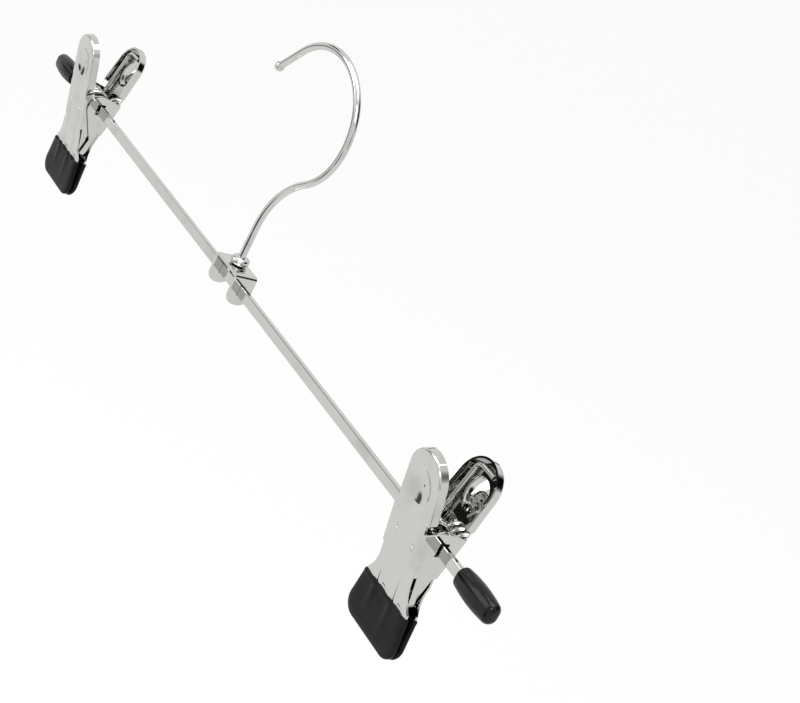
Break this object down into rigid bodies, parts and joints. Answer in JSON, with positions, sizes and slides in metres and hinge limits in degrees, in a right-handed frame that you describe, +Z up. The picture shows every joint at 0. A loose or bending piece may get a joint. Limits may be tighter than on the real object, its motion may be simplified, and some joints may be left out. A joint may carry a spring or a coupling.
{
  "type": "skirt hanger",
  "caption": "Chromed skirt hanger: flat bar with a swivelling wire hook, sliding sprung clips with black dipped tips, and black end caps.",
  "frame": {"origin": "the point inside the top of the hook's loop, on the shank's axis, where a rail carries the hanger", "axes": "+X along the bar towards the right clip, +Y towards the rear, +Z up along the shank"},
  "size_m": [0.313, 0.0214, 0.1073],
  "materials": {
    "chromed_steel": "bright chrome plate on stamped steel",
    "spring_steel": "bright plated spring wire",
    "tip_vinyl": "satin dipped vinyl",
    "cap_vinyl": "glossy moulded vinyl"
  },
  "bodies": {
    "hook": {"hook": "chromed_steel"},
    "frame": {"bar": "chromed_steel", "centre_bracket": "chromed_steel", "left_end_cap": "cap_vinyl", "right_end_cap": "cap_vinyl"},
    "left_clip": {"left_spring": "spring_steel"},
    "left_front_jaw": {"left_front_plate": "chromed_steel", "left_front_tip": "tip_vinyl"},
    "left_rear_jaw": {"left_rear_plate": "chromed_steel", "left_rear_tip": "tip_vinyl"},
    "right_clip": {"right_spring": "spring_steel"},
    "right_front_jaw": {"right_front_plate": "chromed_steel", "right_front_tip": "tip_vinyl"},
    "right_rear_jaw": {"right_rear_plate": "chromed_steel", "right_rear_tip": "tip_vinyl"}
  },
  "joints": [
    {"name": "hook_swivel", "type": "hinge", "parent": "hook", "child": "frame", "pos_m": [0, 0, 0], "axis": [0, 0, 1], "continuous": true},
    {"name": "left_clip_slide", "type": "slide", "parent": "frame", "child": "left_clip", "axis": [-1, 0, 0], "range_m": [-0.1074, 0.0096]},
    {"name": "left_front_pinch", "type": "hinge", "parent": "left_clip", "child": "left_front_jaw", "pos_m": [-0.123, 0, -0.0728], "axis": [-1, 0, 0], "range_deg": [0, 14], "stiffness_Nm_per_rad": 0.4, "springref_deg": -45.84, "deforming": ["left_spring"]},
    {"name": "left_rear_pinch", "type": "hinge", "parent": "left_clip", "child": "left_rear_jaw", "pos_m": [-0.123, 0, -0.0728], "axis": [1, 0, 0], "range_deg": [0, 14]},
    {"name": "right_clip_slide", "type": "slide", "parent": "frame", "child": "right_clip", "axis": [1, 0, 0], "range_m": [-0.1074, 0.0096]},
    {"name": "right_front_pinch", "type": "hinge", "parent": "right_clip", "child": "right_front_jaw", "pos_m": [0.123, 0, -0.0728], "axis": [-1, 0, 0], "range_deg": [0, 14], "stiffness_Nm_per_rad": 0.4, "springref_deg": -45.84, "deforming": ["right_spring"]},
    {"name": "right_rear_pinch", "type": "hinge", "parent": "right_clip", "child": "right_rear_jaw", "pos_m": [0.123, 0, -0.0728], "axis": [1, 0, 0], "range_deg": [0, 14]}
  ],
  "couplings": [
    {"joint": "left_rear_pinch", "follows": "left_front_pinch", "ratio": 1},
    {"joint": "right_rear_pinch", "follows": "right_front_pinch", "ratio": 1}
  ]
}
